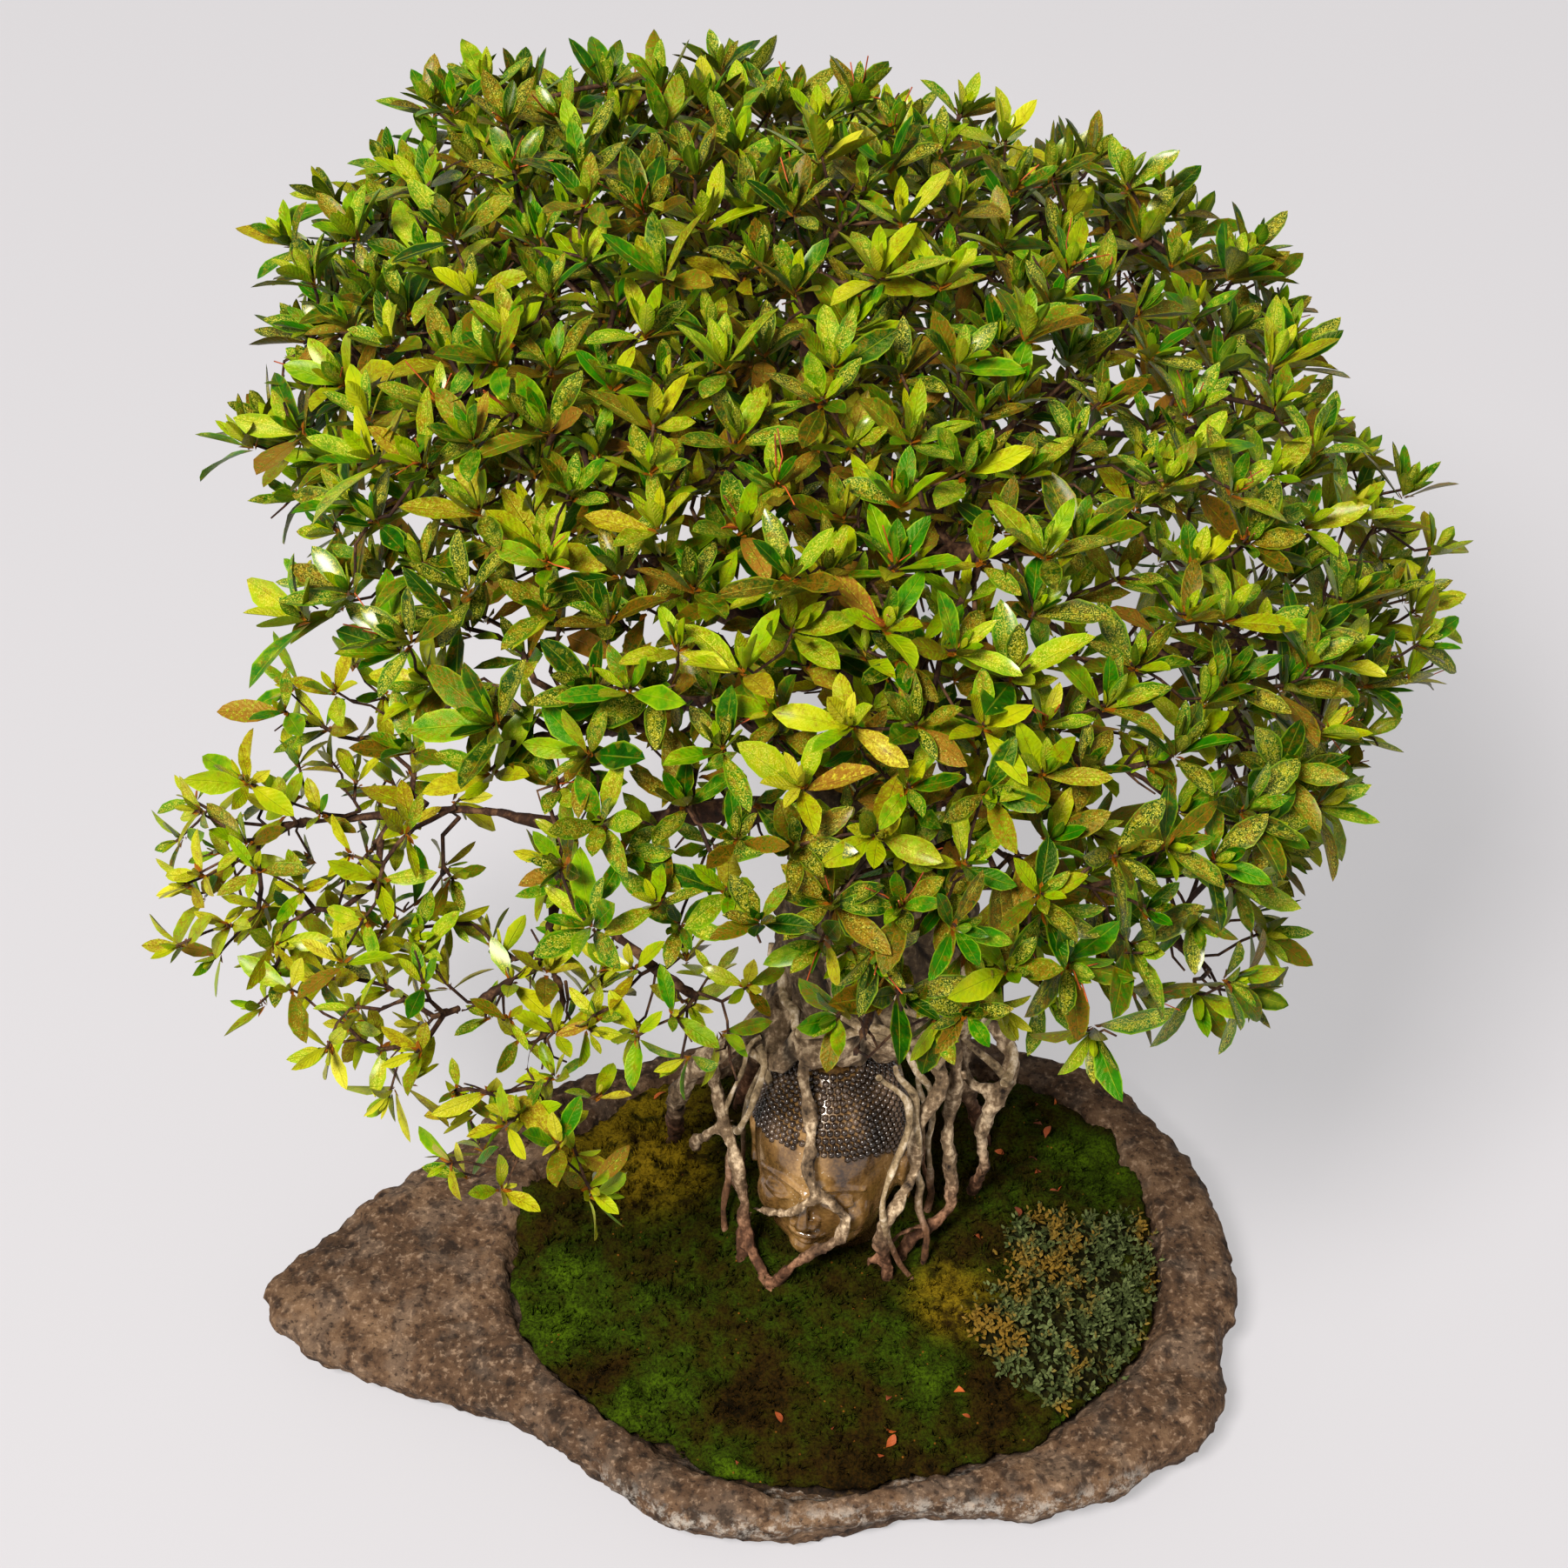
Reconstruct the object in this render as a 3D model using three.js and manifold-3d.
// A satsuki azalea bonsai grown over a small glazed clay head, in a pot of hollowed stone.
// Millimetres, +Z up. The origin is the middle of the pot's flat base, X runs to the right of
// the tree's front and Y runs away from it. The stone trough has a solid tail at its left end.
//
// Everything that grows is a closed solid here: the trunk, its bare roots, the limbs, and one
// cushion of foliage at the end of each limb. Touching solids keep CLEARANCE between them.

import * as THREE from 'three';
import { mergeVertices } from 'three/addons/utils/BufferGeometryUtils.js';
import Module from 'manifold-3d';

const wasm = await Module();
wasm.setup();

// ---------------------------------------------------------------- driving dimensions

const CLEARANCE = 0.3;            // gap between pieces that touch
const WELD = 1e-4;                // vertices nearer than this are one

const BASIN_CENTRE = [25, -25];   // the trough's rim is drawn round this point
const RIM_SEGMENTS = 72;
const BASIN_FLOOR = 16;
const FOOT_SHARE = 0.35;          // how far out under the rim the flat foot reaches
const FOOT_INSET = 8;
const FLANK = { share: 0.42, height: 4, hollow: 5, low: 0.42, high: 0.72 };
const EDGE = { inset: 4, drop: 3, shares: [0.72, 0.38] };
const BASIN_SLOPE = [4, 14, 26];  // how far in from the rim the basin's wall comes on its way down
const BASIN_HOLLOW = 4;
const BASIN_RINGS = 4;            // rings of the section that belong to the basin
const STONE_LUMP = 2.2;
const STONE_LUMP_SIZE = 47;
const STONE_LUMP_RISE = 0.4;      // how much of a lump goes up rather than out

const SOIL_CROWN = 56;            // height of the level soil that the head stands on
const SOIL_LEVEL_SHARE = 0.36;    // share of the basin's radius that is level
const SOIL_SHARES = [0.84, 0.68, 0.52, SOIL_LEVEL_SHARE];
const SOIL_BELOW_RIM = 9;
const SOIL_SIDE_GAP = 0.6;

const MOSS_THICKNESS = 6.5;
const MOSS_INNER_SHARE = 0.42;
const MOSS_EDGE_GAP = 5.4;
const MOSS_RINGS = 5;
const MOSS_UNDERSIDE = 0.4;       // how far its underside stays off the soil, beyond the gap
const PAD_EDGE = 0.45;            // thickness of a pad of moss at its edge, as a share

const HEAD_AXIS = [22, -14];
const HEAD_TURN = THREE.MathUtils.degToRad(-18);
const HEAD_SIDES = 28;

const CANOPY_CENTRE = new THREE.Vector3(14, 20, 454);
const CANOPY_RADII = new THREE.Vector3(218, 239, 165);
const CANOPY_SLOPE = 0.185;       // the dome sinks by this share of the way to the right
const CANOPY_SWELL = 0.045;       // and is fuller by this share on that side
const CANOPY_LOBES = [            // azimuth, latitude, height as a share, spread in degrees
  [75, 46, -0.1, 18],
  [36, 33, 0.055, 16],
  [159, 20, 0.09, 20],
  [344, -17, -0.035, 14],
  [6, 4, 0.08, 14],
  [290, -48, 0.035, 20],
];
const CUSHION_HALF_THICKNESS = 0.135;  // as a share of the canopy's radius
const CUSHION_LUMPS = 0.1;
const CUSHION_LUMP_SIZE = 72;
const CUSHION_DETAIL = 2;

// The pot's rim, one row for each turn of its outline:
// angle in degrees, outer radius, inner radius, outer top, inner top.
const RIM = [
  [0, 198, 160, 40, 42],
  [18, 191, 162, 44, 46],
  [36, 187, 157, 48, 50],
  [52, 174, 148, 50, 51],
  [70, 161, 139, 50, 51],
  [90, 152, 134, 50, 51],
  [110, 156, 138, 50, 51],
  [128, 166, 146, 47, 49],
  [145, 195, 154, 42, 48],
  [158, 212, 158, 39, 47],
  [170, 244, 160, 35, 46],
  [182, 281, 161, 31, 46],
  [190, 250, 160, 30, 45],
  [197, 208, 157, 31, 43],
  [208, 176, 148, 35, 40],
  [225, 157, 138, 36, 38],
  [245, 158, 134, 35, 37],
  [262, 146, 132, 35, 36],
  [278, 140, 128, 34, 36],
  [295, 147, 130, 34, 36],
  [311, 170, 138, 34, 36],
  [326, 187, 147, 35, 37],
  [336, 197, 156, 36, 38],
  [348, 190, 161, 38, 40],
];

// The head's level sections: height, half width, reach in front, reach behind.
const HEAD_SECTIONS = [
  [SOIL_CROWN + CLEARANCE, 25, 18, 26],
  [67, 24, 19, 25],
  [75, 25, 26, 26],
  [81, 27, 35, 28],
  [88, 29, 38.5, 31],
  [98, 32, 38.5, 34],
  [110, 34.5, 39, 37],
  [122, 35.5, 39, 39],
  [134, 35.5, 38.5, 40],
  [146, 34, 36, 38.5],
  [156, 30.5, 31, 34],
  [163, 25, 24, 28],
  [168, 19, 18, 21],
  [174, 13.5, 13, 14.5],
  [177.5, 7, 7, 7.5],
];
const EAR = { height: 112, out: 35.5, behind: 4, radii: [4, 7, 17] };

// The fused mass of old roots that is now the trunk: height, centre x, centre y, half width.
const TRUNK_SECTIONS = [
  [172, 46, 20, 44],
  [181, 46, 18, 50],
  [192, 45, 17, 51],
  [210, 44, 16, 48],
  [232, 43, 16, 45],
  [256, 42, 15, 40],
  [282, 40, 14, 35],
  [308, 37, 13, 31],
  [330, 35, 13, 27],
];
const TRUNK_SIDES = 28;
const TRUNK_FLUTES = 7;
const TRUNK_FLUTE_DEPTH = 0.1;
const TRUNK_TWIST = 0.011;        // radians for each millimetre of height
const TRUNK_FLATNESS = 0.86;
const SLANT_MARGIN = 1.4;         // widens a gap where a surface slants or is fluted

// ---------------------------------------------------------------- materials

function finish(colour, roughness) {
  return new THREE.MeshStandardMaterial({ color: colour, roughness, metalness: 0 });
}

const STONE = finish(0x756660, 0.92);
const SOIL = finish(0x2c2119, 0.97);
const MOSS = finish(0x4d6a16, 0.95);
const GROUND_COVER = finish(0x6f8a62, 0.85);
const GLAZE = finish(0x7d5a32, 0.22);
const BARK = finish(0x6a5c4d, 0.88);
const ROOT_BARK = finish(0x9a8b79, 0.82);
const LEAF = finish(0x6f9a2a, 0.45);

// ---------------------------------------------------------------- closed shells

// A closed mesh through rings of points, from the first ring's cap to the last one's.
function shellThroughRings(rings) {
  const sides = rings[0].length;
  const points = [centroid(rings[0]), ...rings.flat(), centroid(rings[rings.length - 1])];
  const last = points.length - 1;
  const index = [];
  for (let side = 0; side < sides; side++) {
    const next = (side + 1) % sides;
    index.push(0, 1 + next, 1 + side);
    for (let ring = 0; ring < rings.length - 1; ring++) {
      const low = 1 + ring * sides;
      const high = low + sides;
      index.push(low + side, low + next, high + next);
      index.push(low + side, high + next, high + side);
    }
    index.push(last - sides + side, last - sides + next, last);
  }
  return solidFrom(points, index);
}

function centroid(ring) {
  const sum = new THREE.Vector3();
  for (const point of ring) sum.add(point);
  return sum.divideScalar(ring.length);
}

function solidFrom(points, index) {
  const geometry = new THREE.BufferGeometry().setFromPoints(points);
  geometry.setIndex(index);
  return solidFromGeometry(geometry);
}

function solidFromGeometry(geometry) {
  const bare = new THREE.BufferGeometry();
  bare.setAttribute('position', geometry.getAttribute('position').clone());
  if (geometry.index) bare.setIndex(geometry.index.clone());
  const merged = mergeVertices(bare, WELD);
  const solid = new wasm.Manifold(new wasm.Mesh({
    numProp: 3,
    vertProperties: new Float32Array(merged.getAttribute('position').array),
    triVerts: new Uint32Array(merged.index.array),
  }));
  if (solid.volume() <= 0) throw new Error('a shell is inside out');
  return solid;
}

// What is left of a solid after its neighbours are cut out of it, without stray crumbs.
function cut(solid, neighbours) {
  let rest = solid;
  for (const neighbour of neighbours) {
    if (boxesMeet(rest, neighbour)) rest = rest.subtract(neighbour);
  }
  return rest.decompose().sort((one, other) => other.volume() - one.volume())[0];
}

function boxesMeet(one, other) {
  const a = one.boundingBox();
  const b = other.boundingBox();
  return [0, 1, 2].every((axis) => a.min[axis] < b.max[axis] && b.min[axis] < a.max[axis]);
}

// ---------------------------------------------------------------- scene graph

const bonsai = new THREE.Group();
bonsai.name = 'satsuki_azalea_bonsai';

function addPart(name, solid, material) {
  const mesh = solid.getMesh();
  const geometry = new THREE.BufferGeometry();
  geometry.setAttribute('position', new THREE.BufferAttribute(mesh.vertProperties, 3));
  geometry.setIndex(new THREE.BufferAttribute(mesh.triVerts, 1));
  geometry.computeVertexNormals();
  const part = new THREE.Mesh(geometry, material);
  part.name = name;
  bonsai.add(part);
}

// ---------------------------------------------------------------- rim and ground

// A column of the RIM table at any angle, as a smooth closed curve through its rows.
function rimValue(column, degrees) {
  const turn = ((degrees % 360) + 360) % 360;
  const count = RIM.length;
  let row = count - 1;
  while (RIM[row][0] > turn) row--;
  const at = (step) => RIM[(row + step + count) % count];
  const start = RIM[row][0];
  const end = row + 1 < count ? RIM[row + 1][0] : 360;
  const t = (turn - start) / (end - start);
  const [p0, p1, p2, p3] = [at(-1), at(0), at(1), at(2)].map((entry) => entry[column]);
  const bend = 2 * p0 - 5 * p1 + 4 * p2 - p3;
  return 0.5 * (2 * p1 + (p2 - p0) * t + bend * t * t + (3 * p1 - p0 - 3 * p2 + p3) * t * t * t);
}

const rimAngles = Array.from({ length: RIM_SEGMENTS }, (_, step) => (step * 360) / RIM_SEGMENTS);

function aroundBasin(degrees, radius, height) {
  const angle = THREE.MathUtils.degToRad(degrees);
  return new THREE.Vector3(
    BASIN_CENTRE[0] + radius * Math.cos(angle),
    BASIN_CENTRE[1] + radius * Math.sin(angle),
    height,
  );
}

// Three crossing waves: how fast each runs along x, y and z, and the angle it starts at.
const WAVES = [
  [1, 0.83, 0, 1.3],
  [0, 1.71, 0.6, 2.1],
  [1.37, 0, -0.9, 0],
];

// Slow, repeatable unevenness between -1 and 1.
function unevenness(point, wavelength) {
  const perMillimetre = (2 * Math.PI) / wavelength;
  let sum = 0;
  for (const [x, y, z, start] of WAVES) {
    sum += Math.sin(perMillimetre * (x * point.x + y * point.y + z * point.z) + start);
  }
  return sum / WAVES.length;
}

// The trough's section at an angle, as [radius, height], from its foot over the rim to its floor.
function potSection(degrees) {
  const [outer, inner, outerTop, innerTop] = [1, 2, 3, 4].map((column) => rimValue(column, degrees));
  const foot = inner + (outer - inner) * FOOT_SHARE - FOOT_INSET;
  const onRim = (share) => inner + (outer - inner) * share;
  const rimTop = (share) => innerTop + (outerTop - innerTop) * share;
  const underside = [
    [foot, 0],
    [foot + (outer - foot) * FLANK.share, FLANK.height],
  ];
  const flank = [
    [outer - FLANK.hollow, outerTop * FLANK.low],
    [outer, outerTop * FLANK.high],
    [outer - EDGE.inset, outerTop - EDGE.drop],
  ];
  const rim = EDGE.shares.map((share) => [onRim(share), rimTop(share)]);
  const basin = [
    [inner, innerTop],
    [inner - BASIN_SLOPE[0], innerTop - SOIL_BELOW_RIM],
    [inner - BASIN_SLOPE[1], (innerTop + BASIN_FLOOR) / 2 - BASIN_HOLLOW],
    [inner - BASIN_SLOPE[2], BASIN_FLOOR],
  ];
  return [...underside, ...flank, ...rim, ...basin];
}

function makePot() {
  const sections = rimAngles.map((degrees) => potSection(degrees));
  const rings = sections[0].map((_, ring) => rimAngles.map((degrees, step) => {
    const [radius, height] = sections[step][ring];
    const outside = ring > 0 && ring < sections[0].length - BASIN_RINGS;
    const lump = STONE_LUMP * unevenness(aroundBasin(degrees, radius, height), STONE_LUMP_SIZE);
    const rough = outside ? lump : 0;
    return aroundBasin(degrees, radius + rough, height + STONE_LUMP_RISE * rough);
  }));
  return shellThroughRings(rings);
}

function soilHeight(degrees, share) {
  const edge = rimValue(4, degrees) - SOIL_BELOW_RIM;
  const fall = THREE.MathUtils.smoothstep(share, SOIL_LEVEL_SHARE, 1);
  return SOIL_CROWN + (edge - SOIL_CROWN) * fall;
}

function makeSoil() {
  const walls = rimAngles.map((degrees) => potSection(degrees).slice(1 - BASIN_RINGS).reverse());
  const below = [0, 1, 2].map((ring) => rimAngles.map((degrees, step) => {
    const [radius, height] = walls[step][ring];
    const lift = ring < 2 ? CLEARANCE : 0;
    return aroundBasin(degrees, radius - SOIL_SIDE_GAP, height + lift);
  }));
  const above = SOIL_SHARES.map((share) => rimAngles.map((degrees) => {
    const radius = share * rimValue(2, degrees);
    return aroundBasin(degrees, radius, soilHeight(degrees, share));
  }));
  return shellThroughRings([...below, ...above]);
}

// A closed cushion lying on the soil between two angles and two shares of the basin's radius.
function groundCushion({ from, to, inner, outerGap, thickness, lumps, wavelength, grow = 0 }) {
  const pitch = 360 / RIM_SEGMENTS;
  const angles = [];
  for (let degrees = from; degrees <= to + 1e-6; degrees += pitch) angles.push(degrees);
  const columns = angles.length;
  const sheets = [0, 1].map((upper) => angles.map((degrees, column) => {
    const rim = rimValue(2, degrees);
    const outer = (rim - outerGap) / rim;
    const row = [];
    for (let ring = 0; ring <= MOSS_RINGS; ring++) {
      const share = inner + ((outer - inner) * ring) / MOSS_RINGS;
      const flat = aroundBasin(degrees, share * rim, soilHeight(degrees, share));
      const onEdge = ring === 0 || ring === MOSS_RINGS || column === 0 || column === columns - 1;
      const puff = 1 + lumps * unevenness(flat, wavelength);
      const height = thickness * (onEdge ? PAD_EDGE : 1) * puff + grow;
      flat.z += upper ? height : CLEARANCE + MOSS_UNDERSIDE - grow;
      row.push(flat);
    }
    return row;
  }));
  return closedSlab(sheets[0], sheets[1]);
}

// A closed slab between a lower and an upper grid of points with the same rows.
function closedSlab(lower, upper) {
  const rows = lower.length;
  const columns = lower[0].length;
  const points = [...lower.flat(), ...upper.flat()];
  const low = (row, column) => row * columns + column;
  const high = (row, column) => rows * columns + low(row, column);
  const index = [];
  for (let row = 0; row < rows - 1; row++) {
    for (let column = 0; column < columns - 1; column++) {
      const corners = [[row, column], [row, column + 1], [row + 1, column + 1], [row + 1, column]];
      const [a, b, c, d] = corners.map(([r, s]) => high(r, s));
      const [e, f, g, h] = corners.map(([r, s]) => low(r, s));
      index.push(a, b, c, a, c, d, e, g, f, e, h, g);
    }
  }
  const border = [];
  for (let column = 0; column < columns - 1; column++) border.push([0, column]);
  for (let row = 0; row < rows - 1; row++) border.push([row, columns - 1]);
  for (let column = columns - 1; column > 0; column--) border.push([rows - 1, column]);
  for (let row = rows - 1; row > 0; row--) border.push([row, 0]);
  border.forEach((start, step) => {
    const end = border[(step + 1) % border.length];
    const [a, b, c, d] = [low(...start), low(...end), high(...end), high(...start)];
    index.push(a, b, c, a, c, d);
  });
  return solidFrom(points, index);
}

// ---------------------------------------------------------------- clay head

function makeHead(grow = 0) {
  const turn = new THREE.Matrix4().makeRotationZ(HEAD_TURN);
  const place = (x, y, z) => new THREE.Vector3(x, y, z).applyMatrix4(turn)
    .add(new THREE.Vector3(...HEAD_AXIS, 0));
  const rings = HEAD_SECTIONS.map(([height, halfWidth, front, back], level) => {
    const ring = [];
    const lift = level === 0 ? -grow : grow;
    for (let side = 0; side < HEAD_SIDES; side++) {
      const angle = (side * 2 * Math.PI) / HEAD_SIDES;
      const reach = Math.sin(angle) < 0 ? front : back;
      const x = (halfWidth + grow) * Math.cos(angle);
      const y = (reach + grow) * Math.sin(angle);
      ring.push(place(x, y, height + lift));
    }
    return ring;
  });
  let head = shellThroughRings(rings);
  for (const side of [-1, 1]) {
    const ear = new THREE.IcosahedronGeometry(1, 1);
    ear.scale(...EAR.radii.map((radius) => radius + grow));
    ear.translate(side * EAR.out, EAR.behind, EAR.height);
    ear.applyMatrix4(turn).translate(...HEAD_AXIS, 0);
    head = head.add(solidFromGeometry(ear));
  }
  return head;
}

// ---------------------------------------------------------------- stems

const KNOB_RATE = 9.1;            // radians of a stem's knobbly wave between two of its points
const TAPER = 0.85;
const CAP_REACH = 0.6;            // a stem's rounded end, as a share of its radius there
const CAP_ROUNDING = 0.5;

// A tapering stem along a curve through hand-placed points, closed at both ends.
function makeStem({ points, radius, tip, sides = 6, steps = 10, knobs = 0.07 }, grow = 0) {
  const curve = new THREE.CatmullRomCurve3(points.map((point) => new THREE.Vector3(...point)));
  const frames = curve.computeFrenetFrames(steps, false);
  const rings = [];
  for (let step = 0; step <= steps; step++) {
    const along = step / steps;
    const centre = curve.getPointAt(along);
    const knob = 1 + knobs * Math.sin(KNOB_RATE * along * points.length + points[0][0]);
    const thickness = (radius + (tip - radius) * Math.pow(along, TAPER)) * knob + grow;
    const ring = [];
    for (let side = 0; side < sides; side++) {
      const angle = (side * 2 * Math.PI) / sides;
      ring.push(centre.clone()
        .addScaledVector(frames.normals[step], thickness * Math.cos(angle))
        .addScaledVector(frames.binormals[step], thickness * Math.sin(angle)));
    }
    rings.push(ring);
  }
  const overrun = grow + tip * CAP_REACH;
  const capFrom = (ring, forward) => ring.map((point) => point.clone()
    .lerp(centroid(ring), CAP_ROUNDING)
    .addScaledVector(forward, overrun));
  const startCap = capFrom(rings[0], frames.tangents[0].clone().negate());
  const endCap = capFrom(rings[steps], frames.tangents[steps]);
  return shellThroughRings([startCap, ...rings, endCap]);
}

function makeStems(stems, grow = 0) {
  return stems.map((stem) => makeStem(stem, grow)).reduce((all, one) => all.add(one));
}

function makeTrunk(grow = 0) {
  const rings = TRUNK_SECTIONS.map(([height, x, y, halfWidth], level) => {
    const last = TRUNK_SECTIONS.length - 1;
    const lift = level === 0 ? -grow : level === last ? grow : 0;
    const ring = [];
    for (let side = 0; side < TRUNK_SIDES; side++) {
      const angle = (side * 2 * Math.PI) / TRUNK_SIDES;
      const twist = TRUNK_FLUTES * angle + height * TRUNK_TWIST * TRUNK_FLUTES;
      const flute = 1 + TRUNK_FLUTE_DEPTH * Math.cos(twist);
      const radius = halfWidth * flute + grow * SLANT_MARGIN;
      ring.push(new THREE.Vector3(
        x + radius * Math.cos(angle),
        y + radius * TRUNK_FLATNESS * Math.sin(angle),
        height + lift,
      ));
    }
    return ring;
  });
  return shellThroughRings(rings);
}

// Each bare root is one main stem and the short forks that leave it, from the trunk to the soil.
const ROOTS = {
  root_across_head: [
    { points: [[-2, 12, 176], [-6, -12, 174], [3, -24, 186], [14, -26, 190], [27, -20, 189],
      [46, -14, 188], [60, -10, 182]], radius: 7, tip: 6, steps: 14 },
  ],
  root_left_long: [
    { points: [[4, 8, 190], [-14, -2, 180], [-30, -6, 172], [-33, -8, 162], [-29, -12, 137],
      [-23, -19, 115], [-19, -28, 91], [-17, -37, 75], [-9, -50, 61], [-2, -57, 51]],
    radius: 5, tip: 3.6, steps: 20 },
    { points: [[-20, -30, 88], [-20, -36, 72], [-19, -39, 50]], radius: 3.8, tip: 3, steps: 5 },
    { points: [[-28, -13, 131], [-36, -11, 120], [-42, -4, 108], [-42, 2, 95]],
      radius: 3.6, tip: 2.6, steps: 6 },
  ],
  root_over_face: [
    { points: [[6, -12, 196], [5, -24, 186], [9, -36, 176], [13, -46, 162], [11, -56, 145],
      [16, -59, 132], [24, -60, 126], [29, -59, 113], [25, -60, 101], [17, -58, 92],
      [8, -57, 83], [0, -56, 72], [-4, -52, 58], [-4, -50, 48]],
    radius: 4.2, tip: 3.2, steps: 28 },
    { points: [[15, -60, 130], [4, -58, 119], [-6, -50, 110], [-14, -38, 98]],
      radius: 2.8, tip: 2.2, steps: 6 },
  ],
  root_front_right: [
    { points: [[56, -6, 190], [64, -12, 181], [74, -20, 168], [67, -28, 158], [61, -32, 141],
      [62, -34, 124], [55, -46, 117], [48, -54, 109], [45, -55, 96], [48, -50, 76], [50, -48, 50]],
    radius: 5, tip: 3.4, steps: 22 },
  ],
  root_right: [
    { points: [[76, -2, 186], [80, -8, 166], [79, -10, 142], [77, -14, 120], [79, -19, 101],
      [79, -25, 85], [70, -30, 76], [60, -34, 69], [54, -38, 56], [52, -40, 46]],
    radius: 5.5, tip: 3.6, steps: 18 },
    { points: [[70, -30, 76], [58, -38, 82], [48, -42, 74], [39, -44, 62], [36, -45, 52]],
      radius: 3.2, tip: 2.6, steps: 8 },
  ],
  root_right_loop: [
    { points: [[88, 14, 184], [100, 4, 176], [106, -1, 162], [104, -4, 146], [96, -6, 128],
      [93, -7, 112], [96, -7, 96], [93, -3, 78], [92, 5, 62], [92, 9, 48]],
    radius: 5.2, tip: 3.6, steps: 18 },
    { points: [[104, -4, 148], [90, 0, 140], [84, 8, 150], [80, 14, 166]],
      radius: 3.4, tip: 3, steps: 7 },
  ],
  root_left_thick: [
    { points: [[4, 18, 186], [-10, 8, 176], [-26, 2, 168], [-40, 4, 152], [-49, 12, 124],
      [-53, 28, 90], [-54, 42, 62], [-55, 48, 46]], radius: 7, tip: 4.6, steps: 16 },
    { points: [[-4, 16, 172], [-14, 14, 158], [-22, 8, 148], [-32, 2, 146]],
      radius: 3.6, tip: 2.8, steps: 6 },
  ],
  root_back_left: [
    { points: [[14, 44, 186], [2, 54, 160], [-8, 58, 130], [-12, 62, 98], [-20, 66, 68], [-24, 68, 44]],
      radius: 7.5, tip: 4.6, steps: 13 },
  ],
  root_back: [
    { points: [[44, 52, 190], [46, 58, 160], [40, 54, 128], [44, 58, 96], [52, 64, 66], [54, 66, 44]],
      radius: 9, tip: 5, steps: 13 },
    { points: [[42, 56, 128], [30, 56, 104], [22, 50, 80], [16, 48, 50]],
      radius: 4.4, tip: 3.2, steps: 8 },
  ],
  root_back_right: [
    { points: [[80, 36, 186], [86, 38, 160], [84, 34, 130], [88, 38, 98], [96, 44, 68], [100, 46, 44]],
      radius: 7.5, tip: 4.6, steps: 13 },
  ],
};

// ---------------------------------------------------------------- crown

// Each cushion of foliage: its name, direction from the canopy's centre in degrees, how far
// out it reaches, its spread across and up the dome, and the height its limb starts at. The
// top one has no limb of its own: the leader itself carries it.
const CROWN = [
  { name: 'top', azimuth: 100, latitude: 86, reach: 1, across: 0.56, up: 0.54 },
  { name: 'upper_1', azimuth: 28, latitude: 46, reach: 0.98, across: 0.58, up: 0.47, start: 466 },
  { name: 'upper_2', azimuth: 118, latitude: 48, reach: 1, across: 0.58, up: 0.47, start: 452 },
  { name: 'upper_3', azimuth: 208, latitude: 46, reach: 0.98, across: 0.58, up: 0.47, start: 474 },
  { name: 'upper_4', azimuth: 298, latitude: 48, reach: 1, across: 0.58, up: 0.47, start: 446 },
  { name: 'middle_1', azimuth: 350, latitude: 5, reach: 1, across: 0.5, up: 0.36, start: 380 },
  { name: 'middle_2', azimuth: 48, latitude: 12, reach: 1.01, across: 0.54, up: 0.38, start: 396 },
  { name: 'middle_3', azimuth: 108, latitude: 10, reach: 1, across: 0.54, up: 0.38, start: 372 },
  { name: 'middle_4', azimuth: 172, latitude: 14, reach: 0.98, across: 0.54, up: 0.38, start: 404 },
  { name: 'middle_5', azimuth: 236, latitude: 13, reach: 0.99, across: 0.48, up: 0.34, start: 386 },
  { name: 'middle_6', azimuth: 292, latitude: 12, reach: 1, across: 0.5, up: 0.38, start: 366 },
  { name: 'lower_1', azimuth: 322, latitude: -29, reach: 1, across: 0.46, up: 0.3, start: 318 },
  { name: 'lower_2', azimuth: 12, latitude: -24, reach: 1, across: 0.46, up: 0.28, start: 326 },
  { name: 'lower_3', azimuth: 76, latitude: -24, reach: 0.96, across: 0.5, up: 0.28, start: 312 },
  { name: 'lower_4', azimuth: 140, latitude: -22, reach: 0.94, across: 0.48, up: 0.26, start: 322 },
  { name: 'lower_5', azimuth: 274, latitude: -28, reach: 1, across: 0.44, up: 0.3, start: 306 },
];
const LIMB_RADIUS = 6.5;
const LIMB_TIP = 2.2;
const LIMB_BEND = 16;
const LIMB_NEAR = { along: 0.34, swing: 1, rise: -5 };
const LIMB_FAR = { along: 0.7, swing: -0.6, rise: 6 };
const LEADER = {
  points: [[36, 13, 318], [33, 16, 360], [22, 13, 410], [20, 20, 462], [12, 18, 520], [11, 21, 590]],
  radius: 17, tip: 3.6, sides: 10, steps: 16,
};
const LEADER_CURVE = new THREE.CatmullRomCurve3(
  LEADER.points.map((point) => new THREE.Vector3(...point)),
);

// The long limb that hangs to the lower left, with its side limbs and small cushions.
const HANGING_LIMBS = {
  limb_hanging: { points: [[28, 10, 296], [-8, 4, 318], [-52, -2, 318], [-100, 2, 310],
    [-140, 16, 306], [-182, 22, 296], [-232, 30, 282]], radius: 7.2, tip: 2.4, steps: 18 },
  limb_hanging_front: { points: [[-98, 0, 311], [-100, -22, 296], [-104, -42, 280],
    [-118, -54, 270], [-140, -66, 262]], radius: 5.5, tip: 2.2, steps: 10 },
  limb_hanging_low: { points: [[-106, -44, 278], [-96, -62, 262], [-112, -80, 247],
    [-103, -98, 234], [-114, -112, 222]], radius: 3.4, tip: 2, steps: 12 },
  limb_hanging_near: { points: [[-98, -16, 298], [-78, -36, 286], [-60, -56, 284],
    [-38, -72, 278]], radius: 4, tip: 2, steps: 8 },
};
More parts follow.
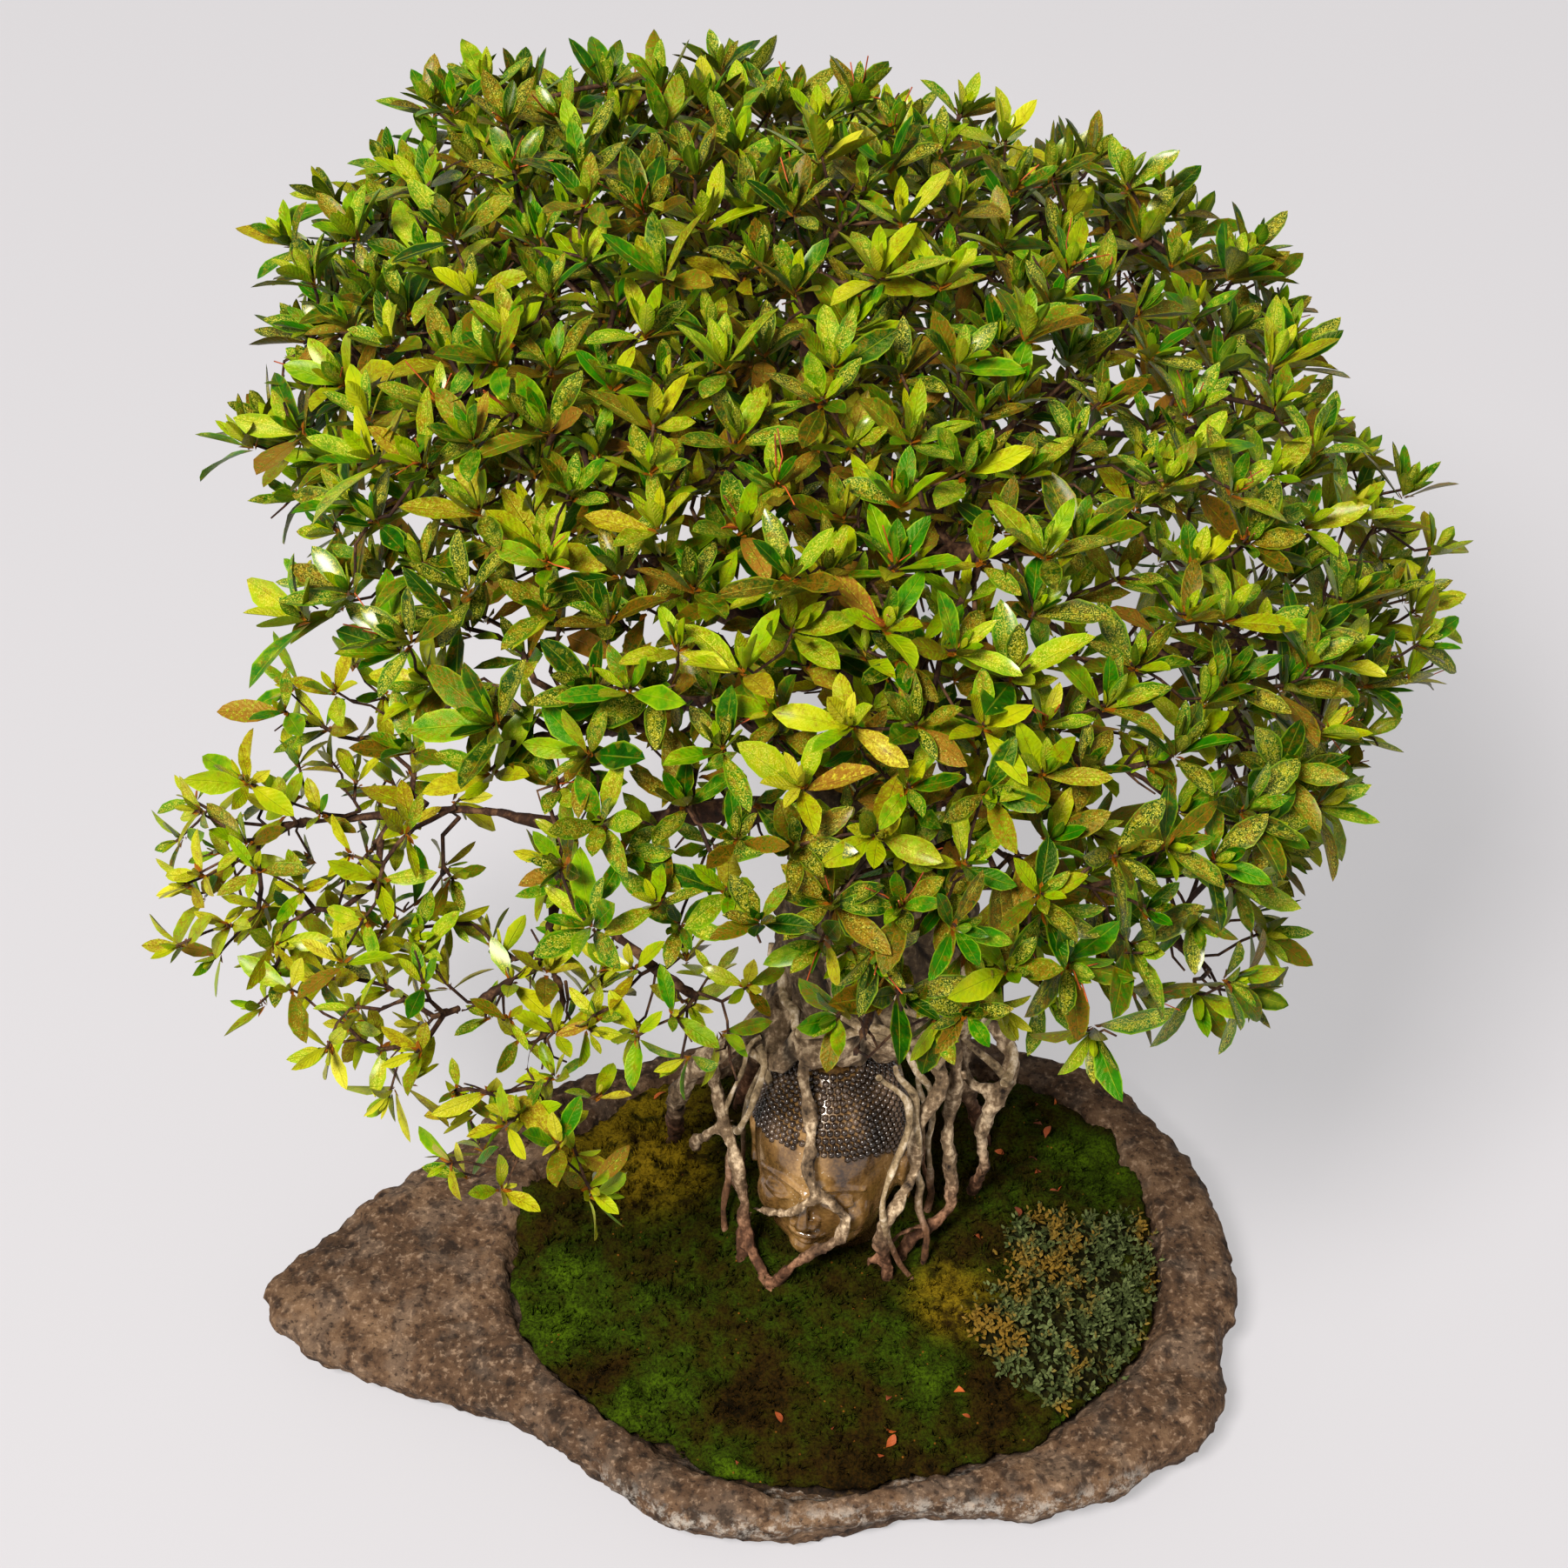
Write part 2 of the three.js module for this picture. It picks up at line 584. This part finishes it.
const HANGING_CUSHIONS = {
  hanging_far: { centre: [-212, 18, 288], radii: [78, 72, 38] },
  hanging_front: { centre: [-137, -52, 264], radii: [74, 50, 32] },
  hanging_low: { centre: [-112, -112, 220], radii: [46, 42, 36] },
  hanging_near: { centre: [-46, -68, 284], radii: [44, 36, 24] },
};

function outward({ azimuth, latitude }) {
  const east = THREE.MathUtils.degToRad(azimuth);
  const north = THREE.MathUtils.degToRad(latitude);
  return new THREE.Vector3(
    Math.cos(north) * Math.cos(east),
    Math.cos(north) * Math.sin(east),
    Math.sin(north),
  );
}

// A point on the canopy's dome, or the given share of the way out to it from its centre.
function canopyPoint(direction, share) {
  let swell = 1 + CANOPY_SWELL * direction.x;
  for (const [azimuth, latitude, height, spread] of CANOPY_LOBES) {
    const away = THREE.MathUtils.radToDeg(direction.angleTo(outward({ azimuth, latitude })));
    swell += height * Math.exp(-((away / spread) ** 2));
  }
  const point = direction.clone().multiply(CANOPY_RADII).multiplyScalar(share * swell);
  point.z -= CANOPY_SLOPE * point.x;
  return point.add(CANOPY_CENTRE);
}

// A lens of foliage that follows the canopy's dome.
function makeDomeCushion(cushion, grow = 0) {
  const normal = outward(cushion);
  const side = new THREE.Vector3(-normal.y, normal.x, 0).normalize();
  const rise = new THREE.Vector3().crossVectors(normal, side);
  const meanRadius = CANOPY_RADII.x;
  return shapedBall((corner, lump) => {
    const direction = normal.clone()
      .addScaledVector(side, corner.x * (cushion.across * lump + grow / meanRadius))
      .addScaledVector(rise, corner.y * (cushion.up * lump + grow / meanRadius))
      .normalize();
    const margin = (SLANT_MARGIN * grow) / meanRadius;
    const depth = corner.z * (CUSHION_HALF_THICKNESS * lump + margin);
    return canopyPoint(direction, cushion.reach * (1 + depth));
  });
}

function makeHangingCushion({ centre, radii }, grow = 0) {
  return shapedBall((corner, lump) => new THREE.Vector3(
    centre[0] + corner.x * (radii[0] * lump + grow),
    centre[1] + corner.y * (radii[1] * lump + grow),
    centre[2] + corner.z * (radii[2] * lump + grow),
  ));
}

// A ball whose corners are moved: the shape gets each corner and how lumpy the ball is there.
function shapedBall(shape) {
  const bare = new THREE.IcosahedronGeometry(1, CUSHION_DETAIL);
  bare.deleteAttribute('normal');
  bare.deleteAttribute('uv');
  const geometry = mergeVertices(bare, WELD);
  const corners = geometry.getAttribute('position');
  for (let i = 0; i < corners.count; i++) {
    const corner = new THREE.Vector3().fromBufferAttribute(corners, i);
    const place = corner.clone().multiplyScalar(CUSHION_LUMP_SIZE);
    const lump = 1 + CUSHION_LUMPS * unevenness(place, CUSHION_LUMP_SIZE);
    corners.setXYZ(i, ...shape(corner, lump).toArray());
  }
  return solidFromGeometry(geometry);
}

// A limb leaves the leader at its height, dips or lifts on the way, and ends in its cushion.
function limbTo(cushion, order) {
  const start = leaderPointAt(cushion.start);
  const normal = outward(cushion);
  const end = canopyPoint(normal, cushion.reach);
  const sideways = new THREE.Vector3(-normal.y, normal.x, 0).normalize();
  const bend = LIMB_BEND * (order % 2 ? 1 : -1);
  const bends = [LIMB_NEAR, LIMB_FAR].map(({ along, swing, rise }) => {
    const point = start.clone().lerp(end, along).addScaledVector(sideways, swing * bend);
    point.z += rise;
    return point;
  });
  return {
    points: [start, ...bends, end].map((point) => point.toArray()),
    radius: LIMB_RADIUS,
    tip: LIMB_TIP,
    steps: 11,
  };
}

function leaderPointAt(height) {
  const [low, high] = [LEADER.points[0][2], LEADER.points[LEADER.points.length - 1][2]];
  if (height <= low) {
    const [, x, y] = TRUNK_SECTIONS[TRUNK_SECTIONS.length - 2];
    return new THREE.Vector3(x, y, height);
  }
  return LEADER_CURVE.getPointAt((height - low) / (high - low));
}

// ---------------------------------------------------------------- assembly

const head = makeHead();
const headAndGap = makeHead(CLEARANCE);
addPart('glazed_head', head, GLAZE);

addPart('trunk', cut(makeTrunk(), [headAndGap]), BARK);
const trunkAndGap = makeTrunk(CLEARANCE);

const placedRoots = [];
for (const [name, stems] of Object.entries(ROOTS)) {
  addPart(name, cut(makeStems(stems), [headAndGap, trunkAndGap, ...placedRoots]), ROOT_BARK);
  placedRoots.push(makeStems(stems, CLEARANCE));
}

const limbs = { leader: LEADER };
CROWN.slice(1).forEach((cushion, order) => {
  limbs[`limb_${cushion.name}`] = limbTo(cushion, order);
});
Object.assign(limbs, HANGING_LIMBS);

const placedLimbs = [];
for (const [name, limb] of Object.entries(limbs)) {
  addPart(name, cut(makeStem(limb), [trunkAndGap, ...placedLimbs]), BARK);
  placedLimbs.push(makeStem(limb, CLEARANCE));
}

const placedCushions = [];
function addCushion(name, make) {
  addPart(`foliage_${name}`, cut(make(0), [...placedLimbs, ...placedCushions]), LEAF);
  placedCushions.push(make(CLEARANCE));
}
for (const cushion of CROWN) {
  addCushion(cushion.name, (grow) => makeDomeCushion(cushion, grow));
}
for (const [name, cushion] of Object.entries(HANGING_CUSHIONS)) {
  addCushion(name, (grow) => makeHangingCushion(cushion, grow));
}

addPart('stone_pot', makePot(), STONE);
addPart('soil', cut(makeSoil(), placedRoots), SOIL);

const groundCover = {
  from: -40, to: 10, inner: 0.52, outerGap: 9, thickness: 12, lumps: 0.3, wavelength: 38,
};
const GROUND_COVER_MARGIN = 4;
addPart('ground_cover', cut(groundCushion(groundCover), placedRoots), GROUND_COVER);
const groundCoverAndGap = groundCushion({ ...groundCover, grow: GROUND_COVER_MARGIN });

const mossPads = {
  moss_left: [110, 200],
  moss_front: [205, 265],
  moss_right: [270, 375],
  moss_back: [380, 465],
};
for (const [name, [from, to]] of Object.entries(mossPads)) {
  const pad = groundCushion({
    from, to, inner: MOSS_INNER_SHARE, outerGap: MOSS_EDGE_GAP, thickness: MOSS_THICKNESS,
    lumps: 0.35, wavelength: 52,
  });
  addPart(name, cut(pad, [groundCoverAndGap, ...placedRoots]), MOSS);
}

export default bonsai;
